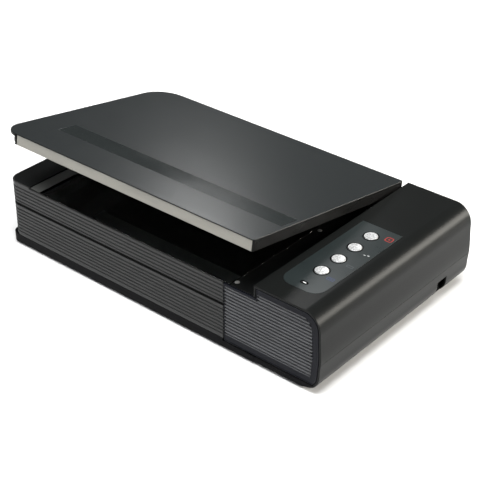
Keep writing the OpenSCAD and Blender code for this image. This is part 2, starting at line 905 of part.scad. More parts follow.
// ---- Scan carriage ----

module guide_rod() {
    color(steel)
        rod_x(frame_x + wall + 0.4, frame_right - wall - 0.4, rod_y, rod_z, rod_d / 2);
}

module rod_supports() {
    color([0.3, 0.3, 0.31])
        for (x = [frame_x + wall + 0.6, frame_right - wall - 7.2])
            difference() {
                union() {
                    block([x, rod_y - 9, floor_top + 0.05], [x + 6.6, rod_y + 9, 12]);
                    block([x, rod_y - 6, 11], [x + 6.6, rod_y + 6, rod_z + 7]);
                }
                rod_x(x - cut, x + 8, rod_y, rod_z, rod_d / 2 + 0.05);
            }
}

// Raised rail that the carriage's front shoe slides on
module support_rail() {
    color([0.3, 0.3, 0.31]) {
        x0 = frame_x + wall + 1;
        x1 = frame_right - wall - 1;
        block([x0, rail_y, floor_top + 0.05], [x1, rail_y + 12, 7]);
        block([x0, rail_y + 4, 6], [x1, rail_y + 7, 30]);
    }
}

module carriage_housing() {
    x0 = scan_x - carriage_w / 2;
    x1 = scan_x + carriage_w / 2;
    t = 2;
    color([0.07, 0.07, 0.075])
        difference() {
            union() {
                block([x0, carriage_y0, carriage_z + 2], [x1, carriage_y1, carriage_top]);
                block([scan_x - 22, rod_y - 11.5, rod_z - 8], [scan_x + 22, rod_y + 8, rod_z + 8]);
                block([scan_x - 26, rod_y + 7, belt_z - 2.5],
                    [scan_x - 14, pulley[1] - 3.5, belt_z + belt_h + 2]);
            }
            block([x0 + t, carriage_y0 + t, carriage_z], [x1 - t, carriage_y1 - t, carriage_top - t]);
            block([scan_x - 4, carriage_y0 + 5, carriage_top - t - cut],
                [scan_x + 4, carriage_y1 - 5, carriage_top + cut]);
            block([scan_x - 15, carriage_y0 + 4, carriage_top - 4.6],
                [scan_x - 5, carriage_y1 - 4, carriage_top + cut]);
            rod_x(scan_x - 30, scan_x + 30, rod_y, rod_z, rod_d / 2 + 2);
            block([scan_x - 30, belt_y0 - 0.6, belt_z - 0.6],
                [scan_x - 10, belt_y0 + belt_t + 0.6, belt_z + belt_h + 3]);
        }
}

// Sheet that closes the carriage from below, with the shoe for the support rail
module carriage_cover() {
    x0 = scan_x - carriage_w / 2;
    color([0.12, 0.12, 0.12])
        union() {
            block([x0, carriage_y0, carriage_z + 0.5],
                [x0 + carriage_w, carriage_y1 - 0.6, carriage_z + 1.95]);
            block([scan_x - 12, rail_y + 2, 30.3], [scan_x + 12, rail_y + 9, carriage_z + 1]);
        }
}

module carriage_bushes() {
    color([0.85, 0.8, 0.65])
        for (x = [scan_x - 21, scan_x + 13])
            difference() {
                rod_x(x, x + 8, rod_y, rod_z, rod_d / 2 + 1.95);
                rod_x(x - cut, x + 9, rod_y, rod_z, rod_d / 2 + 0.06);
            }
}

module lamp_bar() {
    color([0.95, 0.95, 0.9])
        block([scan_x - 14.8, carriage_y0 + 4.2, carriage_top - 4.5],
            [scan_x - 5.2, carriage_y1 - 4.2, carriage_top - 0.6]);
}

module scan_mirrors() {
    color([0.8, 0.85, 0.9])
        for (m = mirror_set)
            translate([scan_x + m[0], (carriage_y0 + carriage_y1) / 2, m[1]])
                rotate([0, m[2], 0])
                    cube(mirror_size, center = true);
}

module lens_barrel() {
    color([0.1, 0.1, 0.1])
        difference() {
            union() {
                rod_x(scan_x - 8, scan_x + 8, lens_y, lens_z, 7);
                block([scan_x - 6, lens_y - 8, lens_z - 1], [scan_x + 6, lens_y + 8, lens_z + 2]);
            }
            for (x = [scan_x - 7, scan_x + 7]) rod_x(x - 2, x + 2, lens_y, lens_z, 5);
        }
}

module ccd_board() {
    x = scan_x - carriage_w / 2 + 2.3;
    color([0.05, 0.25, 0.14]) {
        block([x, lens_y - 31, lens_z - 8], [x + 1.6, lens_y + 31, lens_z + 18]);
        block([x + 1.55, lens_y - 21, lens_z - 4], [x + 4, lens_y + 21, lens_z + 4]);
    }
}

// Ribbon cable: along the floor, round one bend and back to the carriage
module ribbon_cable() {
    x0 = scan_x + 6;
    r = (carriage_z - 6) / 2;
    zc = 5.4 + r;
    outer = arc([x0, zc], [r, r], 270, 90, 14);
    inner = arc([x0, zc], [r - 0.4, r - 0.4], 90, 270, 14);
    color([0.9, 0.9, 0.88])
        front_profile(concat([[158, zc - r]], outer, [[scan_x + 24, zc + r], [scan_x + 24, zc + r - 0.4]],
            inner, [[158, zc - r + 0.4]]), cable_y[0], cable_y[1]);
}

// ---- Drive ----

// Outline of a gear with n teeth: trapezoids that leave a little backlash
function gear_points(n) = let (r = gear_module * n / 2, step = 360 / n)
    [for (i = [0:n - 1], k = [[-0.33, -1.1], [-0.13, 0.85], [0.13, 0.85], [0.33, -1.1]])
        let (a = step * (i + k[0]), rr = r + gear_module * k[1]) [rr * cos(a), rr * sin(a)]];

module gear(n, z0, z1, turn) {
    translate([0, 0, z0])
        linear_extrude(z1 - z0)
            rotate(turn)
                polygon(gear_points(n));
}

module belt_path(r, z0, z1) {
    translate([0, 0, z0])
        linear_extrude(z1 - z0)
            union() {
                translate(idler) circle(r);
                translate(pulley) circle(r);
                translate([idler[0], pulley[1] - r]) square([pulley[0] - idler[0], 2 * r]);
            }
}

module timing_belt() {
    color([0.05, 0.05, 0.05])
        difference() {
            belt_path(belt_r + belt_t, belt_z, belt_z + belt_h);
            belt_path(belt_r, belt_z - cut, belt_z + belt_h + cut);
        }
}

// Belt pulley between two flanges, from z0
module belt_wheel(z0) {
    rod_z([0, 0], z0, z0 + belt_h + 1.6, belt_r - 0.1);
    rod_z([0, 0], z0, z0 + 0.7, belt_r + 1.7);
    rod_z([0, 0], z0 + belt_h + 1, z0 + belt_h + 1.7, belt_r + 1.7);
}

module drive_pulley() {
    color([0.9, 0.88, 0.8])
        translate(pulley)
            difference() {
                union() {
                    gear(pulley_teeth, 26.5, 29.7, idler_turn);
                    belt_wheel(belt_z - 0.85);
                }
                rod_z([0, 0], 20, 50, spindle_r + 0.06);
            }
}

module reduction_gear() {
    color([0.9, 0.88, 0.8])
        translate(gear_axis)
            difference() {
                union() {
                    gear(large_teeth, 22.6, 26, motor_turn);
                    gear(small_teeth, 25.9, 29.7, idler_turn + 180 + 180 / small_teeth);
                }
                rod_z([0, 0], 20, 50, spindle_r + 0.06);
            }
}

// Pinion on the motor's shaft
module motor_pinion() {
    color(steel)
        translate(motor)
            union() {
                gear(pinion_teeth, 22.4, 27.5, motor_turn + 180 + 180 / pinion_teeth);
                rod_z([0, 0], 9, 28.5, 1);
            }
}

module stepper_motor() {
    color([0.6, 0.61, 0.63])
        translate(motor)
            difference() {
                union() {
                    rod_z([0, 0], floor_top + 0.3, bracket_z - 0.05, 16);
                    rod_z([0, 0], bracket_z - cut, bracket_z + 1, 4.4);
                }
                rod_z([0, 0], 8, bracket_z + 2, 1.06);
            }
}

module motor_bracket() {
    color(steel)
        difference() {
            union() {
                block([90, 88, bracket_z + 0.05], [141, 138, bracket_z + plate_t]);
                block([140, 94, bracket_z + 0.05], [147, 104, bracket_z + plate_t]);
                rod_z(pulley, bracket_z + 0.1, 39.5, spindle_r);
                rod_z(gear_axis, bracket_z + 0.1, 31.5, spindle_r);
            }
            rod_z(motor, bracket_z - cut, bracket_z + 3, 4.5);
        }
}

module idler_pulley() {
    color([0.9, 0.88, 0.8])
        translate(idler)
            difference() {
                belt_wheel(belt_z - 0.85);
                rod_z([0, 0], 20, 50, spindle_r + 0.06);
            }
}

module idler_bracket() {
    color(steel)
        union() {
            block([-238, 94, bracket_z + 0.05], [-216, 118, bracket_z + plate_t]);
            rod_z(idler, bracket_z + 0.1, 39.5, spindle_r);
            block([-217.2, 98, bracket_z + 0.1], [-216, 106, bracket_z + 7]);
        }
}

// Point i of a coil of n turns along X, from x0, radius r
function coil_point(i, per, x0, pitch, r) =
    [x0 + pitch * i / per, r * cos(360 * i / per), r * sin(360 * i / per)];

// Round wire of radius w with sides m swept along a coil
module coil(n, x0, pitch, r, w) {
    per = 12;
    m = 6;
    rings = n * per;
    pts = [for (i = [0:rings], k = [0:m - 1])
        let (c = coil_point(i, per, x0, pitch, r), out = [0, c[1], c[2]] / r, a = 360 * k / m)
            c + w * (cos(a) * out + sin(a) * [1, 0, 0])];
    sides = [for (i = [0:rings - 1], k = [0:m - 1])
        [i * m + k, i * m + (k + 1) % m, (i + 1) * m + (k + 1) % m, (i + 1) * m + k]];
    ends = [[for (k = [0:m - 1]) m - 1 - k], [for (k = [0:m - 1]) rings * m + k]];
    polyhedron(pts, concat(ends, sides));
}

module tension_spring() {
    color(steel)
        translate([0, 102, bracket_z + 4])
            coil(7, -215.3, 1.6, 2.2, 0.35);
}

bottom_tray();
rubber_feet();
bed_frame();
platen_glass();
reference_strip();
front_panel_upper();
front_panel_lower();
front_trim();
housing_cover();
housing_base();
control_panel();
button_bezels();
button_1();
button_2();
button_3();
button_4();
status_bezel();
status_lens();
panel_board();
panel_switches();
panel_cable();
main_board();
board_chips();
usb_port();
dc_jack();
switch_frame();
power_rocker();
screws();
bed_bumpers();
hinge_sockets();
hinge_post_left();
hinge_post_right();
hinge_pins();
lid_shell();
lid_tray();
lid_band();
lid_front_strip();
lid_end_cap();
lid_mat();
lid_screws();
guide_rod();
rod_supports();
support_rail();
carriage_housing();
carriage_cover();
carriage_bushes();
lamp_bar();
scan_mirrors();
lens_barrel();
ccd_board();
ribbon_cable();
timing_belt();
drive_pulley();
reduction_gear();
motor_pinion();
stepper_motor();
motor_bracket();
idler_pulley();
idler_bracket();
tension_spring();
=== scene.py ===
"""Looks of the flatbed scanner: materials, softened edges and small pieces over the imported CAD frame."""

import json
import math

import bmesh
import bpy
from mathutils import Matrix, Vector


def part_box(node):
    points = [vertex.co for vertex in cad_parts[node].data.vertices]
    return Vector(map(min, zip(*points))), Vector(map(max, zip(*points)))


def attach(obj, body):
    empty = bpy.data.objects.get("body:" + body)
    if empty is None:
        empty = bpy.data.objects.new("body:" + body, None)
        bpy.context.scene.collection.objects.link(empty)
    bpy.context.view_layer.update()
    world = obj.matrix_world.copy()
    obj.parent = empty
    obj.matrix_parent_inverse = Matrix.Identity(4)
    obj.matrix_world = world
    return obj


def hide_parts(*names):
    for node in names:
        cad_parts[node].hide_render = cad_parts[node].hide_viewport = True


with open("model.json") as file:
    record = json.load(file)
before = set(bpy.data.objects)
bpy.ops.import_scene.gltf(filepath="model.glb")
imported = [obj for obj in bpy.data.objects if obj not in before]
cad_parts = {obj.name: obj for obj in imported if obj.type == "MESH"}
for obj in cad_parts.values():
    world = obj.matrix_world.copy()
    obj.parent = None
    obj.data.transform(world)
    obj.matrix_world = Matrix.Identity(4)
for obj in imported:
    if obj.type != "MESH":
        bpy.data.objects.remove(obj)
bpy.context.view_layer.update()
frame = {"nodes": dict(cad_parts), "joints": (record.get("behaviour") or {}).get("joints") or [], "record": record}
nodes = frame["nodes"]
joints = {j["name"]: j for j in frame["joints"]}
slots = {part["node"]: part["material_slot"] for part in frame["record"]["subparts"]}
bodies = {node: body for body, members in frame["record"]["behaviour"]["bodies"].items() for node in members}
scene = bpy.context.scene

MM = 0.001
WELD = 0.00002


# ---- Materials ----


class Finish:
    """A Principled material built from procedural nodes in object space, where 1 unit is 1 metre."""

    def __init__(self, name, metallic=0.0, **sockets):
        self.material = bpy.data.materials.new(name)
        self.material.use_nodes = True
        self.tree = self.material.node_tree
        self.shader = self.tree.nodes["Principled BSDF"]
        self.shader.inputs["Metallic"].default_value = metallic
        for socket, value in sockets.items():
            self.shader.inputs[socket.replace("_", " ")].default_value = value
        self.place = self.add("ShaderNodeTexCoord").outputs["Object"]

    def add(self, kind, links=None, **values):
        """A new node, with its sockets linked or set, and its other settings made."""
        node = self.tree.nodes.new(kind)
        for name, value in values.items():
            setattr(node, name, value)
        for socket, value in (links or {}).items():
            if isinstance(value, bpy.types.NodeSocket):
                self.tree.links.new(value, node.inputs[socket])
            else:
                node.inputs[socket].default_value = value
        return node

    def stretched(self, scale):
        """Object coordinates stretched by scale along X, Y and Z."""
        return self.add("ShaderNodeMapping", {"Vector": self.place, "Scale": scale}).outputs["Vector"]

    def noise(self, per_metre, detail=2.0, stretch=(1, 1, 1), rough=0.5):
        links = {"Vector": self.stretched(stretch), "Scale": per_metre}
        links |= {"Detail": detail, "Roughness": rough}
        return self.add("ShaderNodeTexNoise", links).outputs["Fac"]

    def cells(self, per_metre):
        links = {"Vector": self.place, "Scale": per_metre}
        return self.add("ShaderNodeTexVoronoi", links).outputs["Distance"]

    def waves(self, per_metre, direction, distortion=0.0):
        links = {"Vector": self.place, "Scale": per_metre, "Distortion": distortion}
        node = self.add("ShaderNodeTexWave", links, bands_direction=direction)
        return node.outputs["Fac"]

    def spread(self, value, low, high, start=0.3, end=0.7):
        """value carried from start..end to low..high."""
        links = {"Value": value, "From Min": start, "From Max": end, "To Min": low, "To Max": high}
        return self.add("ShaderNodeMapRange", links).outputs["Result"]

    def sum(self, first, second, weight):
        product = self.add("ShaderNodeMath", {0: second, 1: weight}, operation="MULTIPLY").outputs[0]
        return self.add("ShaderNodeMath", {0: first, 1: product}, operation="ADD").outputs[0]

    def colour(self, value, dark, light, start=0.3, end=0.7):
        """The base colour goes from dark to light as value goes from start to end."""
        ramp = self.add("ShaderNodeValToRGB", {"Fac": value})
        first, last = ramp.color_ramp.elements
        first.position, last.position = start, end
        first.color = (*dark, 1)
        last.color = (*light, 1)
        self.tree.links.new(ramp.outputs["Color"], self.shader.inputs["Base Color"])

    def roughness(self, value, low, high, start=0.3, end=0.7):
        self.tree.links.new(self.spread(value, low, high, start, end), self.shader.inputs["Roughness"])

    def bump(self, height, depth, strength=1.0):
        """height, from 0 to 1, stands for a relief of that depth in metres."""
        node = self.add("ShaderNodeBump", {"Height": height, "Distance": depth, "Strength": strength})
        self.tree.links.new(node.outputs["Normal"], self.shader.inputs["Normal"])


def scaled(colour, factor):
    return tuple(min(1.0, c * factor) for c in colour)


def moulded(name, colour, rough, grain, depth, **sockets):
    """Spark-eroded plastic: fine pits grain metres apart, with faint handling marks in the gloss."""
    made = Finish(name, **sockets)
    mottle = 0.05
    pits = made.sum(made.cells(1 / grain), made.noise(2.5 / grain, 3), 0.6)
    wear = made.noise(22, 4, rough=0.6)
    dark, light = scaled(colour, 1 - mottle), scaled(colour, 1 + mottle)
    made.colour(made.sum(wear, pits, 0.15), dark, light, 0.35, 0.85)
    made.roughness(wear, rough * 0.98, rough * 1.03)
    made.bump(pits, depth)
    return made.material


def satin(name, colour, rough, **sockets):
    """Smooth plastic with a trace of flow marks and dust."""
    made = Finish(name, **sockets)
    flow = made.noise(60, 4, stretch=(0.3, 0.3, 1.4))
    dust = made.noise(1800, 2)
    made.colour(flow, scaled(colour, 0.9), scaled(colour, 1.1))
    made.roughness(made.sum(flow, dust, 0.4), rough * 0.85, rough * 1.2, 0.5, 0.9)
    made.bump(dust, 0.00001, 0.5)
    return made.material


def brushed(name, colour, rough, stretch, **sockets):
    """Metal with fine drawn lines along the axis that stretch leaves short."""
    made = Finish(name, metallic=1.0, **sockets)
    lines = made.noise(900, 3, stretch=stretch)
    made.colour(lines, scaled(colour, 0.86), scaled(colour, 1.06))
    made.roughness(lines, rough * 0.8, rough * 1.3)
    made.bump(lines, 0.00002, 0.6)
    return made.material


def rubber(name, colour):
    made = Finish(name)
    grain = made.noise(2600, 3)
    bloom = made.noise(45, 4)
    made.colour(bloom, scaled(colour, 0.8), scaled(colour, 1.25))
    made.roughness(grain, 0.7, 0.9)
    made.bump(grain, 0.00004)
    return made.material


def clear_glass(name):
    made = Finish(name, Transmission_Weight=1.0, IOR=1.45)
    smear = made.noise(14, 5, rough=0.65)
    made.colour(smear, (0.3, 0.33, 0.32), (0.36, 0.39, 0.38))
    made.roughness(smear, 0.008, 0.03)
    return made.material


def silver_button(name):
    """Silver paint over plastic: fine metal flakes in a slightly cloudy coat."""
    made = Finish(name, metallic=0.3, Coat_Weight=0.3, Coat_Roughness=0.15)
    flakes = made.cells(2600)
    cloud = made.noise(420, 3)
    made.colour(made.sum(cloud, flakes, 0.4), (0.44, 0.445, 0.445), (0.6, 0.61, 0.61), 0.35, 0.95)
    made.roughness(cloud, 0.2, 0.36)
    made.bump(made.sum(flakes, cloud, 0.8), 0.000025, 0.8)
    return made.material


def circuit_board(name):
    """Green solder mask over faint copper tracks."""
    made = Finish(name, Coat_Weight=0.3)
    tracks = made.waves(420, "DIAGONAL", 2.5)
    pads = made.cells(260)
    made.colour(made.sum(tracks, pads, 0.5), (0.008, 0.06, 0.025), (0.02, 0.13, 0.05), 0.55, 0.75)
    made.roughness(made.noise(300), 0.25, 0.45)
    made.bump(tracks, 0.00003)
    return made.material


def foam(name, colour):
    made = Finish(name, Sheen_Weight=0.3)
    pores = made.cells(1400)
    made.colour(made.noise(30, 4), scaled(colour, 0.94), colour)
    made.roughness(pores, 0.75, 0.92)
    made.bump(pores, 0.00015)
    return made.material


def toothed(name, colour, pitch):
    """Belt rubber with cross ribs."""
    made = Finish(name)
    wave_repeat = 6.28
    made.colour(made.noise(500, 3), scaled(colour, 0.8), scaled(colour, 1.4))
    made.roughness(made.noise(900), 0.55, 0.8)
    made.bump(made.waves(1 / pitch / wave_repeat, "X"), 0.0004)
    return made.material


def printed(name, colour):
    """Ink of a pictogram, a little uneven."""
    made = Finish(name)
    made.colour(made.noise(900, 3), scaled(colour, 0.8), colour)
    made.roughness(made.noise(700), 0.35, 0.5)
    return made.material


FINISHES = {
    "tray_plastic": moulded(
        "tray_plastic", (0.003, 0.003, 0.0035), 0.5, 0.0007, 0.00005, Specular_IOR_Level=0.06
    ),
    "foot_rubber": rubber("foot_rubber", (0.015, 0.015, 0.015)),
    "frame_plastic": moulded(
        "frame_plastic", (0.004, 0.0045, 0.0045), 0.5, 0.0007, 0.00005, Specular_IOR_Level=0.16
    ),
    "glass": clear_glass("glass"),
    "strip_plastic": satin("strip_plastic", (0.07, 0.072, 0.068), 0.42, Specular_IOR_Level=0.4),
    # The left ribbed panels get a darker copy of the ribbed plastic than the trim's ribs: painted shadow, standing
    # in for a shadow cast across them.
    "rib_plastic": satin("rib_plastic", (0.022, 0.0225, 0.022), 0.38, Specular_IOR_Level=0.32),
    "trim_plastic": satin("trim_plastic", (0.006, 0.0068, 0.0105), 0.34, Specular_IOR_Level=0.1),
    "shell_plastic": moulded(
        "shell_plastic", (0.0082, 0.009, 0.0087), 0.3, 0.0005, 0.000012, Specular_IOR_Level=0.1
    ),
    "panel_plastic": satin("panel_plastic", (0.017, 0.0225, 0.023), 0.3, Specular_IOR_Level=0.4),
    "bezel_plastic": satin("bezel_plastic", (0.002, 0.002, 0.002), 0.45, Specular_IOR_Level=0.05),
    "button_silver": silver_button("button_silver"),
    "lens_plastic": satin("lens_plastic", (0.01, 0.01, 0.011), 0.15, Coat_Weight=0.3),
    "circuit_board": circuit_board("circuit_board"),
    "component_plastic": satin("component_plastic", (0.015, 0.015, 0.015), 0.5),
    "ribbon_plastic": satin("ribbon_plastic", (0.7, 0.71, 0.69), 0.35),
    "port_metal": brushed("port_metal", (0.72, 0.72, 0.71), 0.28, (0.2, 1, 1)),
    "screw_steel": brushed("screw_steel", (0.4, 0.4, 0.41), 0.32, (1, 1, 0.2)),
    "bumper_rubber": rubber("bumper_rubber", (0.17, 0.17, 0.165)),
    "bright_steel": brushed("bright_steel", (0.6, 0.61, 0.62), 0.2, (0.05, 1, 1)),
    "lid_plastic": moulded(
        "lid_plastic", (0.0125, 0.0152, 0.0158), 0.29, 0.0008, 0.000015, Specular_IOR_Level=0.3
    ),
    "band_plastic": satin("band_plastic", (0.011, 0.014, 0.014), 0.2, Specular_IOR_Level=0.17),
    "pale_strip": satin("pale_strip", (0.28, 0.272, 0.24), 0.4),
    "mat_foam": foam("mat_foam", (0.02, 0.02, 0.02)),
    "inner_plastic": moulded("inner_plastic", (0.012, 0.012, 0.012), 0.5, 0.0009, 0.00005),
    "carriage_plastic": moulded("carriage_plastic", (0.008, 0.008, 0.008), 0.5, 0.0009, 0.00005),
    "bush_plastic": satin("bush_plastic", (0.6, 0.55, 0.42), 0.35),
    "lamp_diffuser": satin("lamp_diffuser", (0.88, 0.88, 0.85), 0.3),
    "mirror_glass": brushed("mirror_glass", (0.88, 0.9, 0.9), 0.03, (1, 1, 1)),
    "belt_rubber": toothed("belt_rubber", (0.015, 0.015, 0.015), 0.002),
    "gear_plastic": satin("gear_plastic", (0.72, 0.7, 0.62), 0.4),
    "brass_pinion": brushed("brass_pinion", (0.8, 0.6, 0.28), 0.25, (1, 1, 0.1)),
    "motor_steel": brushed("motor_steel", (0.5, 0.51, 0.52), 0.3, (1, 1, 0.15)),
    "zinc_plate": brushed("zinc_plate", (0.6, 0.61, 0.6), 0.35, (0.3, 1, 1)),
}

# The lit copy of the ribbed plastic, for the trim's ribs; the left panels' rib_plastic is its darker
# painted-shadow copy.
TRIM_RIBS = satin("trim_rib_plastic", (0.07, 0.072, 0.077), 0.34, Specular_IOR_Level=0.45)
# Lid sides: smooth satin, and its near-black colour is painted shade, much darker than the grained top for the
# faces that do not look up.
LID_SIDES_SHADED = satin("lid_side_shaded_plastic", (0.003, 0.003, 0.003), 0.3, Specular_IOR_Level=0.12)

INKS = {
    "red": printed("ink_red", (0.36, 0.022, 0.014)),
    "white": printed("ink_white", (0.5, 0.52, 0.52)),
    "grey": printed("ink_grey", (0.055, 0.065, 0.07)),
    "blue": printed("ink_blue", (0.02, 0.035, 0.1)),
    # This ink is a painted highlight: near-white, standing in for a glint of light reflected on the status lens.
    "painted_glint": printed("status_painted_glint", (0.9, 0.92, 0.92)),
}


def paint(piece, material):
    piece.data.materials.clear()
    piece.data.materials.append(material)


# ---- Pieces ----


def finished(mesh, name, body, slot, stands_for=()):
    """A bmesh as a smooth-shaded object that rides on a body."""
    data = bpy.data.meshes.new(name)
    mesh.to_mesh(data)
    mesh.free()
    data.shade_smooth()
    piece = bpy.data.objects.new(name, data)
    scene.collection.objects.link(piece)
    piece.modifiers.new("flat_faces", "WEIGHTED_NORMAL").keep_sharp = True
    paint(piece, FINISHES[slot])
    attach(piece, body)
    if stands_for:
        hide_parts(*stands_for)
    return piece


def smooth_below(mesh, degrees):
    """Edges that bend less than this shade smooth, and the rest stay crisp."""
    for edge in mesh.edges:
        edge.smooth = edge.calc_face_angle(0) < math.radians(degrees)


def softened(node, passes):
    """A copy of a CAD node with rounded edges. A pass is (radius, smallest edge angle, test of an edge)."""
    mesh = bmesh.new()
    mesh.from_mesh(nodes[node].data)
    bmesh.ops.remove_doubles(mesh, verts=mesh.verts, dist=WELD)
    bmesh.ops.dissolve_limit(mesh, angle_limit=math.radians(0.3), verts=mesh.verts, edges=mesh.edges)
    for radius, angle, test in passes:
        sharp = [e for e in mesh.edges if e.is_manifold and e.calc_face_angle(0) > math.radians(angle)]
        chosen = [e for e in sharp if test(e)]
        bmesh.ops.bevel(
            mesh, geom=chosen, offset=radius, segments=3, profile=0.5, affect="EDGES", clamp_overlap=False
        )
    smooth_below(mesh, 38)
    return finished(mesh, node + "_finished", bodies[node], slots[node], [node])


def whole(edge):
    return True


# Radius of the softened edges of each node, in millimetres.
SOFTENED = {
    "lid_front_strip": 0.3,
    "lid_end_cap": 0.5,
    "lid_tray": 0.3,
    "platen_glass": 0.25,
    "bed_bumpers": 0.2,
    "reference_strip": 0.25,
    "control_panel": 0.12,
    "housing_cover": 0.35,
    "housing_base": 0.35,
    "bottom_tray": 0.4,
    "bed_frame": 0.4,
    "rubber_feet": 0.2,
    "hinge_post_left": 0.3,
    "hinge_post_right": 0.3,
    "hinge_sockets": 0.3,
    "switch_frame": 0.2,
    "power_rocker": 0.2,
    "usb_port": 0.15,
    "dc_jack": 0.2,
}

for node, piece in nodes.items():
    paint(piece, FINISHES[slots[node]])

for node, radius in SOFTENED.items():
    softened(node, [(radius * MM, 40, whole)])


# ---- Lid ----

tilt_joint = joints["lid_tilt"]
lid_pivot = Vector(tilt_joint["pos_m"])
opening = Matrix.Rotation(math.radians(-tilt_joint["range_deg"][0]), 4, Vector(tilt_joint["axis"]))
to_ajar = Matrix.Translation(lid_pivot) @ opening @ Matrix.Translation(-lid_pivot)
level = opening.to_3x3().inverted()


def flat_box(node):
    """Corners of a lid node with the lid level."""
    points = [to_ajar.inverted() @ v.co for v in nodes[node].data.vertices]
    return [Vector([pick(p[i] for p in points) for i in range(3)]) for pick in (min, max)]


def lid_top_edge(edge):
    """The rim round the lid's upper face."""
    top = flat_box("lid_shell")[1].z
    return all((to_ajar.inverted() @ v.co).z > top - 0.1 * MM for v in edge.verts)


def lid_skin():
    """The lid's moulded shell: a grained top with a rounded rim, over smooth sides whose near-black colour is
    painted shade, given to every face that does not look up.
    """
    rim = (0.8 * MM, 50, lid_top_edge)
    rest = (0.2 * MM, 50, lambda edge: not lid_top_edge(edge))
    shell = softened("lid_shell", [rim, rest])
    shell.data.materials.append(LID_SIDES_SHADED)
    least_upward = 0.4
    # Faces that do not look up get the darker material: painted shade.
    for face in shell.data.polygons:
        if (level @ face.normal).z < least_upward:
            face.material_index = 1


lid_skin()


def lid_band():
    """Smooth band in the lid's face: it dips at its front edge and runs out level at its back edge."""
    low, high = flat_box("lid_band")
    top = flat_box("lid_shell")[1].z
    dip = 0.35 * MM
    margin = 0.08 * MM
    mesh = bmesh.new()
    rows = []
    for y, z in ((low.y - margin, top - dip), (low.y, top - dip), (high.y, top), (high.y + margin, top)):
        ends = (low.x - margin, high.x + margin)
        rows.append([mesh.verts.new(to_ajar @ Vector((x, y, z))) for x in ends])
    for y in (high.y, low.y):
        rows.append([mesh.verts.new(to_ajar @ Vector((x, y, low.z))) for x in (low.x, high.x)])
    for row, following in zip(rows, rows[1:] + rows[:1]):
        mesh.faces.new((row[0], row[1], following[1], following[0]))
    for side in (0, 1):
        mesh.faces.new([row[side] for row in rows])
    bmesh.ops.recalc_face_normals(mesh, faces=mesh.faces)
    for edge in mesh.edges:
        edge.smooth = False
    finished(mesh, "lid_band_finished", "lid", "band_plastic", ["lid_band"])


lid_band()


# ---- Ribbed front ----

SKIN = 2.3 * MM
GROOVE = 2.1 * MM
SEAM = 0.7 * MM
strip_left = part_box("reference_strip")[0].x - 0.3 * MM
strip_slope = 1.5 * MM
glass_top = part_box("platen_glass")[1].z
high_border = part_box("front_panel_upper")[1].z


def rib_profile(z0, z1, grooves, depth):
    """(z, inset) up a wall with grooves of that depth, the lands between them crowned."""
    steps = 4
    turns = [math.pi / 2 * i / steps for i in range(steps + 1)]
    crown = [(math.sin(turn), 1 - math.cos(turn)) for turn in turns]
    reach = 0.85 * MM
    chamfer = 0.3 * MM
    points = [(z0, chamfer), (z0 + chamfer, 0)]
    for groove in grooves:
        points += [(groove - reach * (1 - s), depth * c) for s, c in crown]
        points += [(groove + GROOVE + reach * (1 - s), depth * c) for s, c in reversed(crown)]
    return points + [(z1 - chamfer, 0), (z1, chamfer)]


def corner_path(low, high, radius, stops=()):
    """(point, outward direction) from the back of the left side, round the corner and along the front.

    stops are places in X that the path has a point at, on its way along the front.
    """
    steps = 12
    centre = Vector((low.x + radius, low.y + radius))
    path = [(Vector((low.x, high.y)), Vector((-1, 0)))]
    for i in range(steps + 1):
        angle = math.pi + math.pi / 2 * i / steps
        out = Vector((math.cos(angle), math.sin(angle)))
        path.append((centre + radius * out, out))
    path += [(Vector((x, low.y)), Vector((0, -1))) for x in (*stops, high.x)]
    return path


def closed_solid(rings):
    """Rings of points joined one to the next, with both ends closed."""
    mesh = bmesh.new()
    loops = [[mesh.verts.new(point) for point in ring] for ring in rings]
    for ring, following in zip(loops, loops[1:]):
        for i in range(len(ring)):
            j = (i + 1) % len(ring)
            mesh.faces.new((ring[i], ring[j], following[j], following[i]))
    mesh.faces.new(loops[0])
    mesh.faces.new(loops[-1])
    bmesh.ops.dissolve_degenerate(mesh, dist=0.00001, edges=mesh.edges)
    bmesh.ops.recalc_face_normals(mesh, faces=mesh.faces)
    smooth_below(mesh, 38)
    return mesh


def ribbed_panel(node, first, pitch, count, seam=(0, 0), floor_at=None, roof_at=None, stops=()):
    """A front panel that wraps the left corner.

    seam draws its lower and upper edges in. floor_at and roof_at limit its height at a given X.
    """
    low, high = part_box(node)
    z0, z1 = low.z + seam[0], high.z - seam[1]
    straight_side = 3 * MM
    radius = high.y - low.y - straight_side
    grooves = [low.z + first + pitch * i for i in range(count)]
    profile = rib_profile(z0, z1, grooves, 1 * MM) + [(z1, SKIN), (z0, SKIN)]
    rings = []
    for spot, out in corner_path(low, high, radius, stops):
        ring = []
        for z, inset in profile:
            place = spot - out * inset
            z = max(z, floor_at(place.x)) if floor_at else z
            z = min(z, roof_at(place.x)) if roof_at else z
            ring.append((place.x, place.y, z))
        rings.append(ring)
    finished(closed_solid(rings), node + "_finished", bodies[node], slots[node], [node])


def upper_roof(x):
    """The upper panel steps down to the glass where the raised border ends."""
    down = min(1.0, max(0.0, (x - strip_left) / strip_slope))
    return high_border + (glass_top - high_border) * down


def lower_floor(x):
    """The lower panel's left corner is rounded off."""
    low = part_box("front_panel_lower")[0]
    radius = 16 * MM
    reach = min(radius, max(0.0, low.x + radius - x))
    return low.z + radius - math.sqrt(radius**2 - reach**2)


step_stops = (strip_left, strip_left + strip_slope)
ribbed_panel("front_panel_upper", 3.0 * MM, 4.9 * MM, 5, (SEAM, 0), roof_at=upper_roof, stops=step_stops)
ribbed_panel("front_panel_lower", 5.2 * MM, 4.7 * MM, 8, (0, SEAM), floor_at=lower_floor, stops=(strip_left,))


# ---- Front trim ----


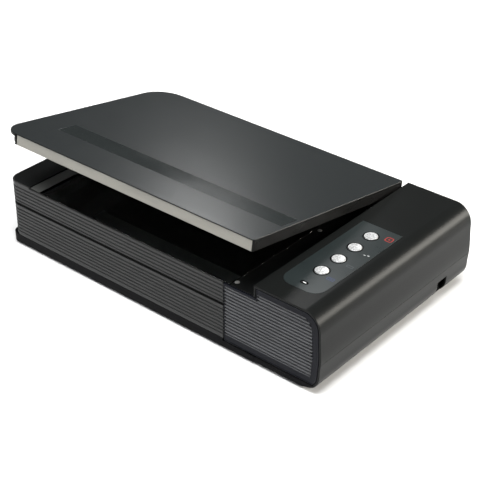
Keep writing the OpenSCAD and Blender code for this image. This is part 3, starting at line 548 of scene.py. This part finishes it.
def outline(node, level):
    """Outer outline, in X and Z, of the CAD face at Y = level."""
    mesh = bmesh.new()
    mesh.from_mesh(nodes[node].data)
    bmesh.ops.remove_doubles(mesh, verts=mesh.verts, dist=WELD)
    bmesh.ops.delete(mesh, geom=[v for v in mesh.verts if abs(v.co.y - level) > 0.00001], context="VERTS")
    rim = {edge for edge in mesh.edges if len(edge.link_faces) == 1}
    loops = []
    while rim:
        edge = rim.pop()
        start, here = edge.verts
        loop = [start, here]
        while here is not start:
            edge = next(e for e in here.link_edges if e in rim)
            rim.discard(edge)
            here = edge.other_vert(here)
            loop.append(here)
        loops.append([Vector((v.co.x, v.co.z)) for v in loop[:-1]])
    mesh.free()
    longest = max(loops, key=len)
    area = sum(a.x * b.y - b.x * a.y for a, b in zip(longest, longest[1:] + longest[:1]))
    return longest if area > 0 else longest[::-1]


def inset(loop, distance):
    """A loop drawn in by distance, for a loop that runs anticlockwise."""
    made = []
    for before, here, after in zip(loop[-1:] + loop[:-1], loop, loop[1:] + loop[:1]):
        first = (here - before).normalized()
        second = (after - here).normalized()
        normal = (Vector((-first.y, first.x)) + Vector((-second.y, second.x))).normalized()
        lean = max(0.3, normal.dot(Vector((-second.y, second.x))))
        made.append(here + normal * distance / lean)
    return made


def span(loop, z):
    """Least and greatest X of a loop at the height z."""
    crossings = []
    for a, b in zip(loop, loop[1:] + loop[:1]):
        if (a.y - z) * (b.y - z) <= 0 and abs(a.y - b.y) > 1e-9:
            crossings.append(a.x + (b.x - a.x) * (z - a.y) / (b.y - a.y))
    return min(crossings), max(crossings)


TRIM_BORDER = 9 * MM
TRIM_RIB_DEPTH = 1.6 * MM
TRIM_RECESS = 0.6 * MM
TRIM_GAP = 0.7 * MM
BEAD = 0.65 * MM
TRIM_RIM = TRIM_GAP + 2 * BEAD + 0.3 * MM
LAND = 1.1 * MM
trim_low, trim_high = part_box("front_trim")
trim_edge = outline("front_trim", trim_high.y)
trim_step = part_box("housing_cover")[0].x + 2.7 * MM
trim_grooves = [trim_low.z + (10.6 + 4.3 * i) * MM for i in range(17)]
trim_inner = inset(trim_edge, TRIM_BORDER)


def rib_end(z):
    """X where a rib of the trim ends, at the height z."""
    margin = 0.2 * MM
    lowest, highest = (pick(p.y for p in trim_inner) for pick in (min, max))
    return span(trim_inner, min(max(z, lowest + margin), highest - margin))[1]


def rib_blocks():
    """(left end, grooves) of the ribs below the step in the trim, and of the shorter ribs beside the step."""
    shoulder = max(p.y for p in trim_edge if p.x < trim_step - 1 * MM) - TRIM_RIM
    low = [z for z in trim_grooves if z + GROOVE + LAND < shoulder]
    return (trim_low.x + TRIM_RIM, low), (trim_step + TRIM_RIM, trim_grooves[len(low):])


def rib_range(grooves):
    return grooves[0] - LAND, grooves[-1] + GROOVE + LAND


def trim_ribs():
    """Ribs let into the front trim: rows that end along its rounded right side."""
    for number, (left_end, grooves) in enumerate(rib_blocks(), 1):
        z0, z1 = rib_range(grooves)
        back = SKIN - 0.3 * MM
        rows = rib_profile(z0, z1, grooves, TRIM_RIB_DEPTH) + [(z1, back), (z0, back)]
        left = [(left_end, trim_low.y + depth, z) for z, depth in rows]
        right = [(rib_end(z), trim_low.y + depth, z) for z, depth in rows]
        name = f"front_trim_ribs_{number}"
        paint(finished(closed_solid([left, right]), name, "base", "trim_plastic"), TRIM_RIBS)


def trim_opening():
    """Outline of the opening that the ribs fill, anticlockwise."""
    (x0, low), (x1, high) = rib_blocks()
    z0, z1 = rib_range(low)[0], rib_range(high)[1]
    shoulder = rib_range(low)[1]
    steps = 24
    rise = [z0 + (z1 - z0) * i / steps for i in range(steps + 1)]
    corners = [(x0, z0)] + [(rib_end(z), z) for z in rise] + [(x1, z1), (x1, shoulder), (x0, shoulder)]
    return [Vector(corner) for corner in corners]


def framed(outer, inner, cuts):
    """The two halves of the flat frame between two anticlockwise loops.

    cuts are the two corners of the inner loop at which the frame is cut.
    """
    ends = []
    for j in cuts:
        nearest = min(range(len(outer)), key=lambda i: (outer[i].co - inner[j].co).length)
        ends.append((nearest, j))
    halves = []
    for (i0, j0), (i1, j1) in (ends, ends[::-1]):
        there = [outer[(i0 + k) % len(outer)] for k in range((i1 - i0) % len(outer) + 1)]
        back = [inner[(j1 - k) % len(inner)] for k in range((j1 - j0) % len(inner) + 1)]
        halves.append(there + back)
    return halves


def trim_border():
    """The smooth border of the front trim: a frame round the ribs, with a bead along its outer edge."""
    back, front = trim_high.y, trim_low.y
    hole = trim_opening()
    mesh = bmesh.new()

    def rows(levels):
        loops = [[mesh.verts.new((p.x, y, p.y)) for p in loop] for loop, y in levels]
        for loop, following in zip(loops, loops[1:]):
            for i in range(len(loop)):
                j = (i + 1) % len(loop)
                mesh.faces.new((loop[i], loop[j], following[j], following[i]))
        return loops[0], loops[-1]

    recessed = front + TRIM_RECESS
    bead = [(TRIM_GAP, back), (TRIM_GAP, recessed)]
    steps = 6
    for i in range(steps + 1):
        angle = math.pi * i / steps
        bead.append((TRIM_GAP + BEAD * (1 - math.cos(angle)), front + TRIM_RECESS * (1 - math.sin(angle))))
    outside = rows([(inset(trim_edge, drawn_in), y) for drawn_in, y in bead])
    inside = rows(((hole, back), (hole, recessed)))
    for outer, inner in zip(outside, inside):
        for corners in framed(outer, inner, (0, len(inner) - 3)):
            mesh.faces.new(corners)
    bmesh.ops.recalc_face_normals(mesh, faces=mesh.faces)
    smooth_below(mesh, 30)
    finished(mesh, "front_trim_finished", "base", "trim_plastic", ["front_trim"])


trim_border()
trim_ribs()


# ---- Buttons, lens and pictograms ----


def lathe(profile, centre, name, node=None, slot=None, body=None):
    """A solid of revolution about a vertical axis through centre.

    profile is a list of (radius, z), from the axis out and back, or round the section of a ring.
    """
    steps = 48
    mesh = bmesh.new()
    rings = []
    for radius, z in profile:
        if radius == 0:
            rings.append([mesh.verts.new((centre.x, centre.y, z))])
            continue
        turns = [2 * math.pi * i / steps for i in range(steps)]
        circle = [(centre.x + radius * math.cos(a), centre.y + radius * math.sin(a), z) for a in turns]
        rings.append([mesh.verts.new(point) for point in circle])
    closed = profile[0][0] > 0
    for ring, following in zip(rings, rings[1:] + (rings[:1] if closed else [])):
        for i in range(steps):
            j = (i + 1) % steps
            corners = [ring[i % len(ring)], ring[j % len(ring)]]
            corners += [following[j % len(following)], following[i % len(following)]]
            mesh.faces.new(list(dict.fromkeys(corners)))
    bmesh.ops.recalc_face_normals(mesh, faces=mesh.faces)
    smooth_below(mesh, 40)
    return finished(mesh, name, body or bodies[node], slot or slots[node], [node] if node else ())


def push_button(number):
    """Silver cap with a shallow dished face, a rounded rim, and the flange and stem of the CAD button."""
    node = f"button_{number}"
    low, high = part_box(node)
    centre = (low + high) / 2
    flange = (high.x - low.x) / 2
    radius = flange - 1 * MM
    top = high.z - 0.15 * MM
    dish = ((0, 0.35), (0.35, 0.32), (0.62, 0.2), (0.8, 0.05))
    face = [(radius * share, top - depth * MM) for share, depth in dish]
    roll = 0.9 * MM
    turns = (0, 0.4, 0.8, 1.2, 1.57)
    rim = [(radius - roll * (1 - math.sin(a)), top - roll * (1 - math.cos(a))) for a in turns]
    flange_low, flange_high = low.z + 1.6 * MM, low.z + 3 * MM
    stem = 2.6 * MM
    under = [(radius, flange_high), (flange, flange_high), (flange, flange_low), (stem, flange_low)]
    lathe(face + rim + under + [(stem, low.z), (0, low.z)], centre, node + "_finished", node)


def button_bezels():
    """A rounded black ring round each button, all one piece in CAD."""
    low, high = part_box("button_bezels")
    outer = (high.x - low.x) / 2
    inner = outer - 1.25 * MM
    top = high.z
    crown = [(outer, low.z), (outer, top - 0.4 * MM), (outer - 0.3 * MM, top - 0.05 * MM)]
    crown += [(outer - 0.65 * MM, top), (inner + 0.25 * MM, top - 0.15 * MM)]
    crown += [(inner, top - 0.6 * MM), (inner, low.z)]
    for number in range(1, 5):
        first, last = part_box(f"button_{number}")
        ring = lathe(crown, (first + last) / 2, f"button_bezel_{number}", slot="bezel_plastic", body="base")
        if number == 1:
            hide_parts("button_bezels")


for number in range(1, 5):
    push_button(number)
button_bezels()


def rounded(centre, size, corner):
    """Outline of a rectangle with round corners, anticlockwise."""
    steps = 8
    half = Vector(size) / 2 - Vector((corner, corner))
    loop = []
    for quarter, (side, end) in enumerate(((1, -1), (1, 1), (-1, 1), (-1, -1))):
        middle = Vector((centre[0] + side * half.x, centre[1] + end * half.y))
        for i in range(steps + 1):
            angle = math.pi / 2 * (quarter - 1 + i / steps)
            loop.append(middle + corner * Vector((math.cos(angle), math.sin(angle))))
    return loop


def swept(loop, section, name, slot, node=None, closed=True):
    """A section of (inset, z) carried round a loop: a ring if closed, or else a solid with capped ends."""
    mesh = bmesh.new()
    loops = [[mesh.verts.new((p.x, p.y, z)) for p in inset(loop, drawn_in)] for drawn_in, z in section]
    for ring, following in zip(loops, loops[1:] + (loops[:1] if closed else [])):
        for i in range(len(ring)):
            j = (i + 1) % len(ring)
            mesh.faces.new((ring[i], ring[j], following[j], following[i]))
    if not closed:
        mesh.faces.new(loops[0])
        mesh.faces.new(loops[-1])
    bmesh.ops.remove_doubles(mesh, verts=mesh.verts, dist=0.002 * MM)
    bmesh.ops.recalc_face_normals(mesh, faces=mesh.faces)
    smooth_below(mesh, 45)
    return finished(mesh, name, "base", slot, [node] if node else ())


def status_light():
    """An oval bezel with a rounded rim, a dark lens in it, and a small near-white spot on the lens that is a
    painted highlight, standing in for a glint of reflected light.
    """
    low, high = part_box("status_bezel")
    centre = (low + high) / 2
    rim = 0.3 * MM
    flat = 0.01 * MM
    oval = rounded(centre.xy, (high.x - low.x, high.y - low.y), (high.y - low.y) / 2 - flat)
    section = [(0, low.z), (0, high.z - rim), (0.3 * rim, high.z - 0.3 * rim), (rim, high.z)]
    section += [(1.1 * MM, high.z), (1.2 * MM, high.z - 0.15 * MM), (1.25 * MM, low.z)]
    swept(oval, section, "status_bezel_finished", "bezel_plastic", "status_bezel")
    first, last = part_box("status_lens")
    crown = [(0, first.z), (0, last.z - 0.25 * MM)]
    crown += [(0.12 * MM, last.z - 0.1 * MM), (0.4 * MM, last.z - 0.02 * MM)]
    inner = rounded(centre.xy, (last.x - first.x, last.y - first.y), (last.y - first.y) / 2 - flat)
    swept(inner, crown, "status_lens_finished", "lens_plastic", "status_lens", closed=False)
    # Painted highlight: a small near-white patch on the lens that stands in for a glint of reflected light.
    spot = centre.xy + Vector((0.4 * MM, -0.1 * MM))
    painted_glint = rounded(spot, (4.0 * MM, 1.3 * MM), 0.6 * MM)
    dome = [(0, last.z - 0.3 * MM), (0, last.z + 0.02 * MM), (0.2 * MM, last.z + 0.05 * MM)]
    paint(swept(painted_glint, dome, "status_painted_glint", "lens_plastic", closed=False), INKS["painted_glint"])


def pictogram(name, offset, size, corner, line, ink):
    """A printed frame on the control panel, or a filled mark where line is 0.

    offset is from the panel's middle, and all sizes are in millimetres.
    """
    first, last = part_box("control_panel")
    spot = (first + last).xy / 2 + Vector(offset) * MM
    loop = rounded(spot, Vector(size) * MM, corner * MM)
    low, high = last.z - 0.05 * MM, last.z + 0.03 * MM
    if line:
        section = [(0, low), (0, high), (line * MM, high), (line * MM, low)]
    else:
        section = [(0, low), (0, high)]
    paint(swept(loop, section, name, "panel_plastic", closed=bool(line)), INKS[ink])


status_light()
pictogram("mark_red_frame", (19.75, 62.75), (9.5, 9.5), 3, 1.1, "red")
pictogram("mark_red_dot", (19.75, 62.75), (2.4, 2.4), 1, 0, "red")
pictogram("mark_white_left", (17.15, 19.05), (2.6, 1.3), 0.5, 0, "white")
pictogram("mark_white_right", (21.45, 20.25), (2.6, 1.3), 0.5, 0, "white")
pictogram("mark_grey_sheet", (18.55, -10.05), (8.6, 4.4), 0.8, 0.8, "grey")
pictogram("mark_blue_sheet", (17.25, -42.85), (9.5, 5.2), 0.8, 1.0, "blue")
pictogram("mark_blue_line", (17.25, -42.85), (4.6, 1.0), 0.4, 0, "blue")


# ---- Studio ----

camera = bpy.data.objects.new("camera", bpy.data.cameras.new("camera"))
scene.collection.objects.link(camera)
scene.camera = camera
camera.data.sensor_width = 36
camera.data.lens = 98.03
camera.location = (0.88609, -1.03007, 0.88145)
turn, rise = math.radians(40.35), math.radians(32.1)
back = Vector((math.sin(turn) * math.cos(rise), -math.cos(turn) * math.cos(rise), math.sin(rise)))
camera.rotation_mode = "QUATERNION"
camera.rotation_quaternion = (-back).to_track_quat("-Z", "Y")


def floor():
    """A wide sheet of pale paper."""
    mesh = bmesh.new()
    bmesh.ops.create_grid(mesh, x_segments=2, y_segments=2, size=6)
    data = bpy.data.meshes.new("floor")
    mesh.to_mesh(data)
    mesh.free()
    made = bpy.data.objects.new("floor", data)
    scene.collection.objects.link(made)
    surface = Finish("floor_paper", Specular_IOR_Level=0.2)
    surface.colour(surface.noise(3), (0.93, 0.93, 0.93), (0.95, 0.95, 0.95))
    surface.roughness(surface.noise(40), 0.8, 0.9)
    paint(made, surface.material)


def softbox(name, place, aim, size, power, colour=(1, 1, 1)):
    """A rectangular light at place, turned towards aim, unseen by the camera."""
    light = bpy.data.lights.new(name, "AREA")
    light.shape = "RECTANGLE"
    light.size, light.size_y = size
    light.energy = power
    light.color = colour
    made = bpy.data.objects.new(name, light)
    scene.collection.objects.link(made)
    made.visible_camera = False
    made.location = place
    made.rotation_mode = "QUATERNION"
    made.rotation_quaternion = (Vector(aim) - Vector(place)).to_track_quat("-Z", "Y")


floor()
softbox("key", (0.3, -0.4, 2.6), (0, 0, 0), (1.6, 1.6), 92)
softbox("edge", (1.63, 1.57, 0.72), (0.22, 0, 0.08), (1.4, 0.75), 64, (1, 0.96, 0.88))
softbox("rear", (-0.585, 0.745, 0.74), (0.06, -0.12, 0.15), (0.14, 0.42), 2.5)
softbox("front", (-1.45, -1.75, 1.3), (0, -0.1, 0), (0.9, 0.9), 16)


def studio_world():
    """Dim, and a little lighter towards the horizon."""
    world = bpy.data.worlds.new("studio")
    scene.world = world
    world.use_nodes = True
    tree = world.node_tree
    place = tree.nodes.new("ShaderNodeTexCoord")
    split = tree.nodes.new("ShaderNodeSeparateXYZ")
    ramp = tree.nodes.new("ShaderNodeValToRGB")
    tree.links.new(place.outputs["Generated"], split.inputs[0])
    tree.links.new(split.outputs["Z"], ramp.inputs["Fac"])
    tree.links.new(ramp.outputs["Color"], tree.nodes["Background"].inputs["Color"])
    first, last = ramp.color_ramp.elements
    first.position, last.position = 0.02, 0.6
    first.color = (0.14, 0.14, 0.14, 1)
    last.color = (0.1, 0.103, 0.106, 1)


studio_world()
scene.view_settings.view_transform = "Standard"
